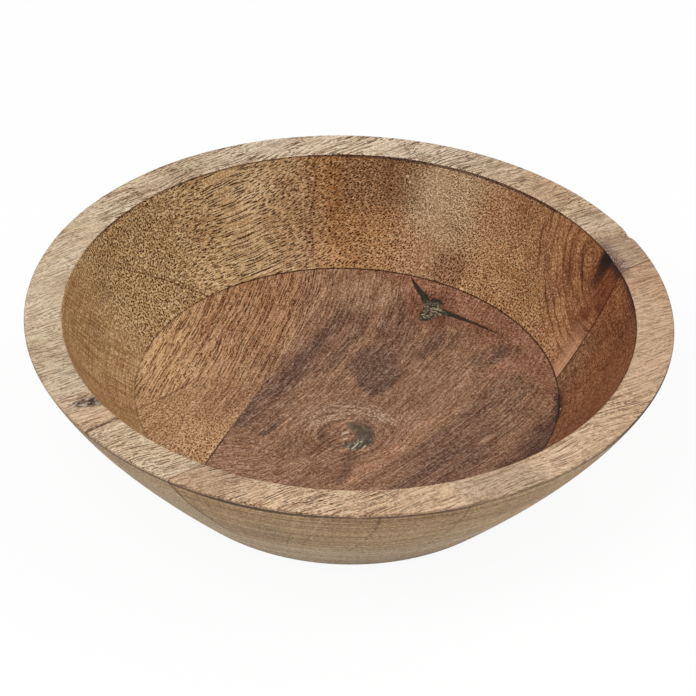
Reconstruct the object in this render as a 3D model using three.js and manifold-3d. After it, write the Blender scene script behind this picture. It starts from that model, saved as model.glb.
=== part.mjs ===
// A turned mango wood bowl: two edge-glued wall boards on two edge-glued base boards,
// with dark filler set flush in a star-shaped crack and beside a knot in the floor.
// Millimetres, +Z up, origin at the centre of the underside.

import * as THREE from 'three';
import { mergeVertices } from 'three/addons/utils/BufferGeometryUtils.js';
import Module from 'manifold-3d';

const wasm = await Module();
wasm.setup();

// Driving sizes of the bowl
const RIM_RADIUS = 125;
const RIM_WIDTH = 14.6;
const FLOOR_RADIUS = 82.9;
const INNER_DEPTH = 38.75;
const BASE_THICKNESS = 26.25;
const FOOT_RADIUS = 75;

// Both faces of the wall are shallow curves: the control point of each stands this far out from the
// straight line between its ends, at this distance down that line from the rim
const WALL_BULGE = 5.5;
const WALL_BULGE_DOWN = 21;
const INNER_BULGE = 4;
const INNER_BULGE_DOWN = 24;

// Softened edges
const RIM_OUTER_EDGE = 1.2;
const RIM_INNER_EDGE = 0.8;
const FOOT_EDGE = 1.5;

// Glue lines between the boards, as plan angle from +X and distance from the bowl's axis
const GLUE_GAP = 0.3;
const WALL_JOINT_ANGLE = 39.3;
const WALL_JOINT_OFFSET = -43.4;
const BASE_JOINT_ANGLE = 69;
const BASE_JOINT_OFFSET = 31.7;

// Star-shaped crack in the floor: an oval void with two tapering arms
const CRACK_X = 33;
const CRACK_Y = 55.8;
const CRACK_BODY_LENGTH = 17;
const CRACK_BODY_WIDTH = 8;
const CRACK_BODY_ANGLE = 66;
const CRACK_REAR_ARM_ANGLE = 110;
const CRACK_REAR_ARM_REACH = 22.5;
const CRACK_REAR_ARM_WIDTH = 5;
const CRACK_SIDE_ARM_ANGLE = -30;
const CRACK_SIDE_ARM_REACH = 28;
const CRACK_SIDE_ARM_WIDTH = 5.6;
const CRACK_ARM_TIP_WIDTH = 0.8;

// Half-moon void on one side of the floor knot: a round void less the larger round of the knot's heart
const KNOT_X = 2.2;
const KNOT_Y = -29;
const KNOT_VOID_RADIUS = 8.9;
const KNOT_HEART_RADIUS = 14;
const KNOT_HEART_SHIFT = 13.2;

// Filler lies just clear of its void and just under the floor
const FILLER_DEPTH = 4;
const FILLER_CLEARANCE = 0.3;
const FILLER_DROP = 0.2;

// Facets round a full turn, along a curved outline, and round a small outline
const TURN_STEPS = 80;
const CURVE_STEPS = 4;
const OUTLINE_STEPS = 20;

const height = BASE_THICKNESS + INNER_DEPTH;
const innerRimRadius = RIM_RADIUS - RIM_WIDTH;
const jointTop = BASE_THICKNESS + GLUE_GAP;

const oiledTan = new THREE.MeshStandardMaterial({ color: 0xb08a5e, roughness: 0.6, metalness: 0 });
const oiledBrown = new THREE.MeshStandardMaterial({ color: 0xa27650, roughness: 0.6, metalness: 0 });
const paleTan = new THREE.MeshStandardMaterial({ color: 0xa37b4d, roughness: 0.6, metalness: 0 });
const redBrown = new THREE.MeshStandardMaterial({ color: 0x7d5640, roughness: 0.55, metalness: 0 });
const darkFiller = new THREE.MeshStandardMaterial({ color: 0x3c3a2e, roughness: 0.35, metalness: 0 });

// A closed three.js geometry as a solid for joining and cutting
function toSolid(geometry) {
  const bare = geometry.clone();
  bare.deleteAttribute('normal');
  bare.deleteAttribute('uv');
  const merged = mergeVertices(bare);
  const index = merged.index.array;
  const triangles = [];
  for (let i = 0; i < index.length; i += 3) {
    const [a, b, c] = index.slice(i, i + 3);
    if (a !== b && b !== c && c !== a) {
      triangles.push(a, b, c);
    }
  }
  return new wasm.Manifold(new wasm.Mesh({
    numProp: 3,
    vertProperties: new Float32Array(merged.attributes.position.array),
    triVerts: new Uint32Array(triangles),
  }));
}

// A finished solid as a named three.js mesh
function toMesh(name, solid, material) {
  const { vertProperties, triVerts } = solid.getMesh();
  const geometry = new THREE.BufferGeometry();
  geometry.setAttribute('position', new THREE.BufferAttribute(vertProperties, 3));
  geometry.setIndex(new THREE.BufferAttribute(triVerts, 1));
  geometry.computeVertexNormals();
  const mesh = new THREE.Mesh(geometry, material);
  mesh.name = name;
  return mesh;
}

// A profile of radius and height turned about +Z
function turned(points) {
  return toSolid(new THREE.LatheGeometry(points, TURN_STEPS).rotateX(Math.PI / 2));
}

// A flat outline raised along +Z from bottom to top
function raised(shape, bottom, top) {
  const options = { depth: top - bottom, bevelEnabled: false, curveSegments: OUTLINE_STEPS };
  return toSolid(new THREE.ExtrudeGeometry(shape, options).translate(0, 0, bottom));
}

// The space on one side of an upright glue plane, back from the plane by half the glue gap
function sideOf(angle, offset, side) {
  const reach = 4 * (RIM_RADIUS + height + Math.abs(offset));
  const box = new THREE.BoxGeometry(reach, reach, reach);
  box.translate(0, offset + side * (reach / 2 + GLUE_GAP / 2), 0);
  box.rotateZ(THREE.MathUtils.degToRad(angle));
  return toSolid(box);
}

// A wall face as a shallow curve from its low end up to the rim
function bowedWall(low, high, bulge, bulgeDown) {
  const down = low.clone().sub(high).normalize();
  const out = new THREE.Vector2(-down.y, down.x);
  const control = high.clone().addScaledVector(down, bulgeDown).addScaledVector(out, bulge);
  return new THREE.QuadraticBezierCurve(low, control, high);
}

const footEnd = new THREE.Vector2(FOOT_RADIUS, 0);
const floorEnd = new THREE.Vector2(FLOOR_RADIUS, BASE_THICKNESS);
const outerRimEnd = new THREE.Vector2(RIM_RADIUS, height);
const innerRimEnd = new THREE.Vector2(innerRimRadius, height);
const outerWall = bowedWall(footEnd, outerRimEnd, WALL_BULGE, WALL_BULGE_DOWN);
const innerWall = bowedWall(floorEnd, innerRimEnd, INNER_BULGE, INNER_BULGE_DOWN);

// Place on a wall curve at a given height
function placeAt(wall, z) {
  const a = wall.v0.y - 2 * wall.v1.y + wall.v2.y;
  const b = 2 * (wall.v1.y - wall.v0.y);
  const c = wall.v0.y - z;
  return (2 * c) / (-b - Math.sqrt(b * b - 4 * a * c));
}

// Points along a wall curve between two places on it
function pointsAlong(wall, from, to) {
  const points = [];
  for (let i = 0; i <= CURVE_STEPS; i += 1) {
    points.push(wall.getPoint(from + (to - from) * (i / CURVE_STEPS)));
  }
  return points;
}

// A softened corner: a short curve between two points with the sharp corner as its control
function softened(from, corner, to) {
  return new THREE.QuadraticBezierCurve(from, corner, to).getPoints(CURVE_STEPS);
}

// Wall ring: outer curve, softened flat rim, inner curve, flat glue face
function wallRing() {
  const outerEdgeStart = placeAt(outerWall, height - RIM_OUTER_EDGE);
  const outerEdgeEnd = new THREE.Vector2(RIM_RADIUS - RIM_OUTER_EDGE, height);
  const innerEdgeStart = new THREE.Vector2(innerRimRadius + RIM_INNER_EDGE, height);
  const innerEdgeEnd = placeAt(innerWall, height - RIM_INNER_EDGE);
  const profile = [
    ...pointsAlong(outerWall, placeAt(outerWall, jointTop), outerEdgeStart),
    ...softened(outerWall.getPoint(outerEdgeStart), outerRimEnd, outerEdgeEnd).slice(1),
    ...softened(innerEdgeStart, innerRimEnd, innerWall.getPoint(innerEdgeEnd)),
    ...pointsAlong(innerWall, innerEdgeEnd, placeAt(innerWall, jointTop)).slice(1),
  ];
  profile.push(profile[0].clone());
  return turned(profile);
}

// Base blank: flat underside, softened foot edge, outer curve, flat floor
function baseBlank() {
  const footEdgeEnd = placeAt(outerWall, FOOT_EDGE);
  const profile = [
    new THREE.Vector2(0, 0),
    ...softened(new THREE.Vector2(FOOT_RADIUS - FOOT_EDGE, 0), footEnd, outerWall.getPoint(footEdgeEnd)),
    ...pointsAlong(outerWall, footEdgeEnd, placeAt(outerWall, BASE_THICKNESS)).slice(1),
    new THREE.Vector2(0, BASE_THICKNESS),
  ];
  return turned(profile);
}

// Star crack, grown sideways by a clearance, between two heights
function crackSolid(clearance, bottom, top) {
  const body = new THREE.Shape();
  const bodyTurn = THREE.MathUtils.degToRad(CRACK_BODY_ANGLE);
  const halfLength = CRACK_BODY_LENGTH / 2 + clearance;
  const halfWidth = CRACK_BODY_WIDTH / 2 + clearance;
  body.absellipse(CRACK_X, CRACK_Y, halfLength, halfWidth, 0, 2 * Math.PI, false, bodyTurn);
  const arms = [
    { angle: CRACK_REAR_ARM_ANGLE, reach: CRACK_REAR_ARM_REACH, rootWidth: CRACK_REAR_ARM_WIDTH },
    { angle: CRACK_SIDE_ARM_ANGLE, reach: CRACK_SIDE_ARM_REACH, rootWidth: CRACK_SIDE_ARM_WIDTH },
  ];
  let solid = raised(body, bottom, top);
  for (const { angle, reach, rootWidth } of arms) {
    const root = rootWidth / 2 + clearance;
    const tip = CRACK_ARM_TIP_WIDTH / 2 + clearance;
    const arm = new THREE.Shape([
      new THREE.Vector2(0, -root),
      new THREE.Vector2(reach + clearance, -tip),
      new THREE.Vector2(reach + clearance, tip),
      new THREE.Vector2(0, root),
    ]);
    const geometry = new THREE.ExtrudeGeometry(arm, { depth: top - bottom, bevelEnabled: false });
    geometry.rotateZ(THREE.MathUtils.degToRad(angle));
    geometry.translate(CRACK_X, CRACK_Y, bottom);
    solid = solid.add(toSolid(geometry));
  }
  return solid;
}

// Half-moon void beside the knot's heart, grown sideways by a clearance, between two heights
function knotSolid(clearance, bottom, top) {
  const round = new THREE.Shape();
  round.absarc(KNOT_X, KNOT_Y, KNOT_VOID_RADIUS + clearance, 0, 2 * Math.PI, false);
  const heart = new THREE.Shape();
  heart.absarc(KNOT_X - KNOT_HEART_SHIFT, KNOT_Y, KNOT_HEART_RADIUS - clearance, 0, 2 * Math.PI, false);
  const overshoot = FILLER_DEPTH;
  return raised(round, bottom, top).subtract(raised(heart, bottom - overshoot, top + overshoot));
}

const ring = wallRing();
const fillerTop = BASE_THICKNESS - FILLER_DROP;
const fillerBottom = BASE_THICKNESS - FILLER_DEPTH;
const pocketBottom = fillerBottom - FILLER_CLEARANCE;
const pocketTop = BASE_THICKNESS + FILLER_DEPTH;
const base = baseBlank()
  .subtract(crackSolid(FILLER_CLEARANCE, pocketBottom, pocketTop))
  .subtract(knotSolid(FILLER_CLEARANCE, pocketBottom, pocketTop));

const bowl = new THREE.Group();
bowl.add(
  toMesh('rear_wall_board', ring.intersect(sideOf(WALL_JOINT_ANGLE, WALL_JOINT_OFFSET, 1)), oiledTan),
  toMesh('front_wall_board', ring.intersect(sideOf(WALL_JOINT_ANGLE, WALL_JOINT_OFFSET, -1)), oiledBrown),
  toMesh('light_base_board', base.intersect(sideOf(BASE_JOINT_ANGLE, BASE_JOINT_OFFSET, 1)), paleTan),
  toMesh('dark_base_board', base.intersect(sideOf(BASE_JOINT_ANGLE, BASE_JOINT_OFFSET, -1)), redBrown),
  toMesh('crack_filler', crackSolid(0, fillerBottom, fillerTop), darkFiller),
  toMesh('knot_filler', knotSolid(0, fillerBottom, fillerTop), darkFiller),
);

export default bowl;
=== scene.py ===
"""Looks of the turned mango wood bowl: finely turned boards, filled crack and knot, procedural mango wood."""
from functools import partial
import math

import bmesh
import bpy
from mathutils import Matrix, Vector, noise


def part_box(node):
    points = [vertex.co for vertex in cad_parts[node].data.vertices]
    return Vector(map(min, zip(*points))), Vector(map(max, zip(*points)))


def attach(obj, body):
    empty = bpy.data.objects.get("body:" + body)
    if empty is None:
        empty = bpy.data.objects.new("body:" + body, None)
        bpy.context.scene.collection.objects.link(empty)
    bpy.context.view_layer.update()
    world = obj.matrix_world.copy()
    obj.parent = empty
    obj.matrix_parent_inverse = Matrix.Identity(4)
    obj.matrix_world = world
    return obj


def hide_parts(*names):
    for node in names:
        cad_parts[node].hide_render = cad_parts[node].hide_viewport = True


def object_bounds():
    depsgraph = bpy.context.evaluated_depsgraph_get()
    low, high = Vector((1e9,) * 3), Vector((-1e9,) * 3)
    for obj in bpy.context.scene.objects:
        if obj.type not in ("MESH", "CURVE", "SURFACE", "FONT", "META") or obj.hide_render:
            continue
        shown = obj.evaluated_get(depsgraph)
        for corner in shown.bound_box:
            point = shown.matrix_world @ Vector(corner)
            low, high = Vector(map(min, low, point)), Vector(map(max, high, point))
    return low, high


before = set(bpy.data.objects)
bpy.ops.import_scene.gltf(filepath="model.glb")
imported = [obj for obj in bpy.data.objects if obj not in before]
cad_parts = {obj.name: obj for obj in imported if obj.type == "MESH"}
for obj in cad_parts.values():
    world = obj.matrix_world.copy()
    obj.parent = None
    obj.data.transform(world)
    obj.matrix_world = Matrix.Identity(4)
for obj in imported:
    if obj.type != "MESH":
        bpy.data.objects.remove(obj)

cad_low, cad_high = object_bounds()

# Sizes in millimetres, in the frame of the solids
MM = 0.001
HEIGHT = cad_high.z / MM
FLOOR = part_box("dark_base_board")[1].z / MM
RIM_RADIUS = 125.0
RIM_WIDTH = 14.6
INNER_RIM = RIM_RADIUS - RIM_WIDTH
FLOOR_RADIUS = 82.9
FOOT_RADIUS = 75.0
DEPTH = HEIGHT - FLOOR
RIM_OUTER_EDGE = 1.2
RIM_INNER_EDGE = 0.8
FOOT_EDGE = 1.5
WALL_BULGE = 5.5
WALL_BULGE_DOWN = 21.0
INNER_BULGE = 4.0
INNER_BULGE_DOWN = 24.0

# Glue planes: plan angle from +X in degrees and distance from the axis
WALL_JOINT_ANGLE = 39.3
WALL_JOINT_OFFSET = -43.4
BASE_JOINT_ANGLE = 69.0
BASE_JOINT_OFFSET = 31.7
GLUE_LINE = 0.03
GLUE_GROOVE = 0.14
FLOOR_GROOVE = 0.2

# Facets of the fine meshes, round the bowl and along its profile
REAR_COLUMNS = 640
FRONT_COLUMNS = 360
BASE_COLUMNS = 480
WALL_ROWS = 40
EDGE_ROWS = 6
RIM_ROWS = 14
FOOT_ROWS = 26
UNDER_ROWS = 12
FLOOR_ROWS = 60
FLOOR_UNDER_WALL = 2.5
CRISP_ANGLE = 40


# Turned profile

def lerp(a, b, t):
    return a + (b - a) * t


def bezier(a, control, b, steps):
    """Points of a quadratic curve, both ends included."""
    points = []
    for i in range(steps + 1):
        t = i / steps
        points.append(lerp(lerp(a, control, t), lerp(control, b, t), t))
    return points


def bowed_wall(low, high, bulge, bulge_down):
    """A wall face as a shallow curve: its low end, control point and rim end, as radius and height."""
    down = (low - high).normalized()
    out = Vector((-down.y, down.x))
    return low, high + down * bulge_down + out * bulge, high


OUTER_WALL = bowed_wall(Vector((FOOT_RADIUS, 0)), Vector((RIM_RADIUS, HEIGHT)), WALL_BULGE, WALL_BULGE_DOWN)
INNER_WALL = bowed_wall(
    Vector((FLOOR_RADIUS, FLOOR)), Vector((INNER_RIM, HEIGHT)), INNER_BULGE, INNER_BULGE_DOWN)


def wall_point(wall, z):
    """Place on a wall curve at a height."""
    low, control, high = wall
    a = low.y - 2 * control.y + high.y
    b = 2 * (control.y - low.y)
    c = low.y - z
    t = 2 * c / (-b - math.sqrt(b * b - 4 * a * c))
    return lerp(lerp(low, control, t), lerp(control, high, t), t)


def wall_run(wall, z0, z1, steps):
    return [wall_point(wall, lerp(z0, z1, i / steps)) for i in range(steps + 1)]


def wall_profile():
    """Closed profile of the wall ring, as places and face kinds from the floor joint up, over and down."""
    edge_down = wall_point(INNER_WALL, HEIGHT - RIM_INNER_EDGE)
    edge_in = Vector((INNER_RIM + RIM_INNER_EDGE, HEIGHT))
    edge_out = Vector((RIM_RADIUS - RIM_OUTER_EDGE, HEIGHT))
    outer_top = wall_point(OUTER_WALL, HEIGHT - RIM_OUTER_EDGE)
    outer_low = wall_point(OUTER_WALL, FLOOR + GLUE_GROOVE)
    inner = wall_run(INNER_WALL, FLOOR + FLOOR_GROOVE, HEIGHT - RIM_INNER_EDGE, WALL_ROWS)[:-1]
    inner_edge = bezier(edge_down, Vector((INNER_RIM, HEIGHT)), edge_in, EDGE_ROWS)
    rim = inner_edge[EDGE_ROWS // 2:]
    rim += [lerp(edge_in, edge_out, i / RIM_ROWS) for i in range(1, RIM_ROWS)]
    rim += bezier(edge_out, Vector((RIM_RADIUS, HEIGHT)), outer_top, EDGE_ROWS)[:-1]
    rows = [(p, "inner") for p in inner + inner_edge[:EDGE_ROWS // 2]]
    rows += [(p, "rim") for p in rim]
    outer = wall_run(OUTER_WALL, HEIGHT - RIM_OUTER_EDGE, FLOOR + GLUE_GROOVE, WALL_ROWS)
    rows += [(p, "outer") for p in outer]
    rows += [(Vector((outer_low.x - GLUE_GROOVE, FLOOR + GLUE_LINE)), "outer")]
    rows += [(Vector((FLOOR_RADIUS + FLOOR_GROOVE, FLOOR + GLUE_LINE)), "inner")]
    return rows


def base_profile():
    """Profile of the base from the middle of its underside to the middle of the floor."""
    edge_in = Vector((FOOT_RADIUS - FOOT_EDGE, 0))
    edge_up = wall_point(OUTER_WALL, FOOT_EDGE)
    outer_high = wall_point(OUTER_WALL, FLOOR - GLUE_GROOVE)
    rows = [(Vector((FOOT_RADIUS * i / UNDER_ROWS, 0)), "under") for i in range(1, UNDER_ROWS)]
    rows += [(p, "outer") for p in bezier(edge_in, Vector((FOOT_RADIUS, 0)), edge_up, EDGE_ROWS)]
    rows += [(p, "outer") for p in wall_run(OUTER_WALL, FOOT_EDGE, FLOOR - GLUE_GROOVE, FOOT_ROWS)[1:]]
    rows += [(Vector((outer_high.x - GLUE_GROOVE, FLOOR)), "floor")]
    for i in range(FLOOR_ROWS):
        rows += [(Vector((lerp(FLOOR_RADIUS + FLOOR_UNDER_WALL, 0, i / FLOOR_ROWS), FLOOR)), "floor")]
    return rows


# Meshes

def polar(radius, degrees, z):
    a = math.radians(degrees)
    return Vector((radius * math.cos(a), radius * math.sin(a), z))


def new_object(name, bm, finishes):
    """A shaded object, in metres, from a bmesh in millimetres."""
    bmesh.ops.recalc_face_normals(bm, faces=bm.faces)
    bmesh.ops.transform(bm, matrix=Matrix.Scale(MM, 4), verts=bm.verts)
    mesh = bpy.data.meshes.new(name)
    bm.to_mesh(mesh)
    bm.free()
    piece = bpy.data.objects.new(name, mesh)
    bpy.context.scene.collection.objects.link(piece)
    for finish in finishes:
        mesh.materials.append(finish)
    return piece


def smooth_by_angle(piece, degrees):
    """Smooth faces, with edges sharper than an angle kept crisp."""
    piece.data.shade_smooth()
    piece.data.set_sharp_from_angle(angle=math.radians(degrees))


def wall_board(name, facing, offset, columns, finishes, shape):
    """Part of the wall ring on one side of the glue plane: facing is the plan angle out of the plane."""
    rows = wall_profile()
    kinds = ["inner", "rim", "outer"]
    reach = offset + GLUE_LINE / 2
    bm = bmesh.new()
    grid = []
    for (radius, z), _ in rows:
        half = math.degrees(math.acos(reach / radius))
        row = []
        for i in range(columns + 1):
            p = polar(radius, facing + lerp(-half, half, i / columns), z)
            row.append(bm.verts.new(shape(p)))
        grid.append(row)
    count = len(rows)
    for j in range(count):
        k = (j + 1) % count
        kind = kinds.index(rows[k][1] if rows[j][1] != "rim" else "rim")
        for i in range(columns):
            face = bm.faces.new((grid[j][i], grid[j][i + 1], grid[k][i + 1], grid[k][i]))
            face.material_index = kind
    for end in (0, columns):
        bm.faces.new([row[end] for row in grid])
    piece = new_object(name, bm, finishes)
    smooth_by_angle(piece, CRISP_ANGLE)
    return piece


def base_solid():
    """Whole base as a bmesh, turned from its profile."""
    rows = base_profile()
    kinds = {"floor": 0, "outer": 1, "under": 2}
    bm = bmesh.new()
    grid = []
    for (radius, z), _ in rows:
        grid.append([bm.verts.new(polar(radius, 360 * i / BASE_COLUMNS, z)) for i in range(BASE_COLUMNS)])
    bottom = bm.verts.new((0, 0, 0))
    top = bm.verts.new((0, 0, FLOOR))
    for i in range(BASE_COLUMNS):
        n = (i + 1) % BASE_COLUMNS
        bm.faces.new((bottom, grid[0][n], grid[0][i])).material_index = kinds["under"]
        bm.faces.new((top, grid[-1][i], grid[-1][n])).material_index = kinds["floor"]
        for j in range(len(rows) - 1):
            face = bm.faces.new((grid[j][i], grid[j][n], grid[j + 1][n], grid[j + 1][i]))
            face.material_index = kinds[rows[j][1]]
    return bm


def base_board(name, side, finishes):
    """Part of the base on one side of its glue plane."""
    bm = base_solid()
    a = math.radians(BASE_JOINT_ANGLE)
    normal = Vector((-math.sin(a), math.cos(a), 0))
    point = normal * (BASE_JOINT_OFFSET + side * GLUE_LINE / 2)
    geometry = bm.verts[:] + bm.edges[:] + bm.faces[:]
    cut = bmesh.ops.bisect_plane(bm, geom=geometry, plane_co=point, plane_no=normal * -side, clear_outer=True)
    edges = [e for e in cut["geom_cut"] if isinstance(e, bmesh.types.BMEdge)]
    bmesh.ops.edgeloop_fill(bm, edges=edges)
    piece = new_object(name, bm, finishes)
    smooth_by_angle(piece, CRISP_ANGLE)
    return piece


# Node materials

def srgb(colour):
    """Display colour, 0 to 255, as a linear colour with alpha."""
    linear = []
    for value in colour:
        v = value / 255
        linear.append(v / 12.92 if v <= 0.04045 else ((v + 0.055) / 1.055) ** 2.4)
    return (*linear, 1.0)


class Wire:
    """One number or colour that a node gives out. Sums and products of wires make Math nodes."""

    def __init__(self, nodes, socket):
        self.nodes = nodes
        self.socket = socket

    def other(self, name):
        """Another output of the same node."""
        return Wire(self.nodes, self.socket.node.outputs[name])

    def __add__(self, other):
        return self.nodes.math("ADD", self, other)

    def __sub__(self, other):
        return self.nodes.math("SUBTRACT", self, other)

    def __rsub__(self, other):
        return self.nodes.math("SUBTRACT", other, self)

    def __mul__(self, other):
        return self.nodes.math("MULTIPLY", self, other)

    def __truediv__(self, other):
        return self.nodes.math("DIVIDE", self, other)

    def __abs__(self):
        return self.nodes.math("ABSOLUTE", self)


class Nodes:
    """The node tree of a material or world, emptied and built up node by node."""

    def __init__(self, owner):
        owner.use_nodes = True
        self.tree = owner.node_tree
        self.tree.nodes.clear()

    def add(self, kind, inputs, output=0, **settings):
        """One output of a new node, whose inputs are joined to wires or set to values."""
        node = self.tree.nodes.new(kind)
        for key, value in settings.items():
            setattr(node, key, value)
        for key, value in inputs.items():
            if isinstance(value, Wire):
                self.tree.links.new(value.socket, node.inputs[key])
            else:
                node.inputs[key].default_value = value
        return Wire(self, node.outputs[output]) if node.outputs else None

    def math(self, operation, *values):
        return self.add("ShaderNodeMath", dict(enumerate(values)), operation=operation)

    def most(self, first, *others):
        """The largest of some numbers."""
        for value in others:
            first = self.math("MAXIMUM", first, value)
        return first


class Finish(Nodes):
    """A material under construction. Places are in millimetres in the frame of the solids."""

    def __init__(self, name, colour=None):
        self.material = bpy.data.materials.new(name)
        super().__init__(self.material)
        self.colour = colour
        place = self.add("ShaderNodeTexCoord", {}, "Object")
        x = self.add("ShaderNodeSeparateXYZ", {0: place})
        self.x, self.y, self.z = [x.other(axis) * (1 / MM) for axis in "XYZ"]

    def noise(self, place, detail=2.0, roughness=0.5):
        """Soft noise about 0.5 at a place of three numbers, with features one unit apart."""
        vector = self.add("ShaderNodeCombineXYZ", dict(enumerate(place)))
        inputs = {"Vector": vector, "Scale": 1.0, "Detail": detail, "Roughness": roughness}
        return self.add("ShaderNodeTexNoise", inputs)

    def cloud(self, flat, rise, shift, detail=2.0, roughness=0.5):
        """Soft noise fixed in the wood, by its scale in plan, its scale up the axis and a shift."""
        return self.noise((self.x * flat, self.y * flat, self.z * rise + shift), detail, roughness)

    def cells(self, x, y, spread):
        """Distance to the nearest of scattered points one unit apart, and that point's own random number."""
        vector = self.add("ShaderNodeCombineXYZ", {0: x, 1: y})
        inputs = {"Vector": vector, "Scale": 1.0, "Randomness": spread}
        distance = self.add("ShaderNodeTexVoronoi", inputs, "Distance", voronoi_dimensions="2D")
        return distance, self.add("ShaderNodeSeparateColor", {0: distance.other("Color")})

    def step(self, value, low, high):
        """0 at low rising smoothly to 1 at high; low may be the larger."""
        inputs = {"Value": value, "From Min": low, "From Max": high}
        return self.add("ShaderNodeMapRange", inputs, interpolation_type="SMOOTHSTEP")

    def band(self, value, low, high, soft):
        """1 between low and high, falling to 0 over the soft width on each side."""
        return self.step(value, low - soft, low + soft) * self.step(value, high + soft, high - soft)

    def bands(self, value, rows):
        """Sum of bands, each by its low, high, soft width and share."""
        total = 0.0
        for low, high, soft, share in rows:
            total = self.band(value, low, high, soft) * share + total
        return total

    def line(self, off, half_width):
        """1 on a line, by the distance off it, falling to 0 beyond its half width."""
        return self.step(abs(off), half_width * 1.4, half_width * 0.5)

    def sine(self, value):
        return self.math("SINE", value)

    def root(self, value):
        return self.math("SQRT", value)

    def away(self, centre, x_weight=1.0, y_weight=1.0):
        """Distance from a plan point, with weights on the squares of its sides."""
        dx, dy = self.x - centre[0], self.y - centre[1]
        return self.root(dx * dx * x_weight + dy * dy * y_weight)

    def rear_azimuth(self):
        """Degrees round the bowl from +X, with their jump at the front."""
        return self.math("ARCTAN2", self.x * -1.0, self.y) * (180 / math.pi) + 90

    def front_azimuth(self):
        """Degrees round the bowl from +X, with their jump at the left."""
        return self.math("ARCTAN2", self.y, self.x) * (180 / math.pi)

    def layer(self, blend, share, colour):
        inputs = {0: share}
        for key, value in ((6, self.colour), (7, colour)):
            inputs[key] = value if isinstance(value, Wire) else srgb(value)
        self.colour = self.add("ShaderNodeMix", inputs, 2, data_type="RGBA", blend_type=blend)

    def paint(self, share, colour):
        """Lays a colour over the wood so far, by its share."""
        self.layer("MIX", share, colour)

    def stain(self, share, tint):
        """Darkens the wood so far with a tint, by its share."""
        self.layer("MULTIPLY", share, tint)

    def zones(self, value, low, high, stops):
        """Starts the wood with colours along a value between low and high, blended from stop to stop."""
        share = (value - low) * (1 / (high - low))
        self.colour = self.add("ShaderNodeValToRGB", {0: share})
        elements = self.colour.socket.node.color_ramp.elements
        while len(elements) < len(stops):
            elements.new(0.5)
        for element, (place, colour) in zip(elements, stops):
            element.position = (place - low) / (high - low)
            element.color = srgb(colour)

    def finish(self, roughness, height, specular=0.25, depth=0.25):
        """Joins the wood's colour, its roughness and its relief, in millimetres, to the surface."""
        relief = {"Strength": 1.0, "Distance": depth * MM, "Height": height}
        shader = self.add("ShaderNodeBsdfPrincipled", {
            "Base Color": self.colour,
            "Roughness": roughness,
            "Specular IOR Level": specular,
            "Normal": self.add("ShaderNodeBump", relief),
        })
        self.add("ShaderNodeOutputMaterial", {0: shader})
        return self.material


def grain_frame(f, degrees):
    """Places along and across the grain, for grain at a plan angle."""
    c, s = math.cos(math.radians(degrees)), math.sin(math.radians(degrees))
    return f.x * c + f.y * s, f.y * c - f.x * s


def curved_grain(f, slope, bow):
    """Places along and across grain that leans at a slope in the middle and turns from front to back."""
    c, s = math.cos(math.radians(slope)), math.sin(math.radians(slope))
    return f.x * c + f.y * s, f.x * s - f.y * c + f.y * f.y * bow


def off_wall_joint(f):
    """Distance in millimetres from the wall's glue plane, above 0 in the rear board."""
    return grain_frame(f, WALL_JOINT_ANGLE)[1] - WALL_JOINT_OFFSET


def off_base_joint(f):
    """Distance in millimetres from the base's glue plane, above 0 in the light board."""
    return grain_frame(f, BASE_JOINT_ANGLE)[1] - BASE_JOINT_OFFSET


def vessels(f, along, across, up, length, width, size):
    """Dark vessel tubes along the grain: broken dashes on the side, dots where they meet the surface."""
    distance, chance = f.cells(across * (1 / width), up * (1 / width), 0.85)
    edge = chance * (size * 0.5) + size * 0.75
    broken = f.noise((along * (1 / length), chance * 97.0, 0.5), 0.0)
    return f.step(distance, edge * 1.15, edge * 0.55) * f.step(broken, 0.26, 0.38)


def fibres(f, along, across, up, length, width):
    """Fine light and dark streaks along the grain, about 0.5."""
    return f.noise((along * (1 / length), across * (1 / width), up * (1 / width)), 3.0, 0.6)


def speckle(f, size):
    """Fine even grain about 0.5, with specks of a size in millimetres."""
    return f.cloud(1 / size, 1 / size, 0.0, 2.0, 0.7)


def stroke(f, x, y, start, end, sag, low_width, mid_width, high_width):
    """A soft bowed streak between two plan points, with its half width at the start, middle and end."""
    run = Vector(end) - Vector(start)
    ux, uy = run.normalized()
    s = ((x - start[0]) * ux + (y - start[1]) * uy) * (1 / run.length)
    off = (y - start[1]) * ux - (x - start[0]) * uy - s * (1.0 - s) * (4 * sag)
    width = (1.0 - s) * (1.0 - s) * low_width + s * (1.0 - s) * (4 * mid_width) + s * s * high_width
    return f.step(abs(off), width * 1.4, width * 0.4) * f.band(s, 0.0, 1.0, 0.07)


# Tints that darken wood where they lie
VESSEL_TINT = (120, 82, 42)
PORE_TINT = (86, 52, 18)
STREAK_TINT = (202, 178, 146)
SPECK_TINT = (180, 147, 102)
SOFT_TINT = (220, 204, 186)
LINE_TINT = (144, 100, 66)
STAIN_AND_SHADOW_TINT = (66, 50, 44)
EDGE_TINT = (104, 76, 58)
SMUDGE_TINT = (84, 76, 70)

# Pale wood of the lightest fibres and flecks
PALE_WOOD = (234, 208, 174)


def grained(f, streak, streak_share, pale_share, marks, mark_share, mark_tint=VESSEL_TINT):
    """Adds dark and pale streaks and the vessels."""
    f.stain(f.step(streak, 0.38, 0.66) * streak_share, STREAK_TINT)
    f.paint(f.step(streak, 0.46, 0.32) * pale_share, PALE_WOOD)
    f.stain(marks * mark_share, mark_tint)


def flecked(f, speck, dark, pale):
    """Adds fine flecks, by the shares of dark and pale ones."""
    f.stain(f.step(speck, 0.44, 0.62) * dark, SPECK_TINT)
    f.paint(f.step(speck, 0.47, 0.33) * pale, PALE_WOOD)


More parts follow.
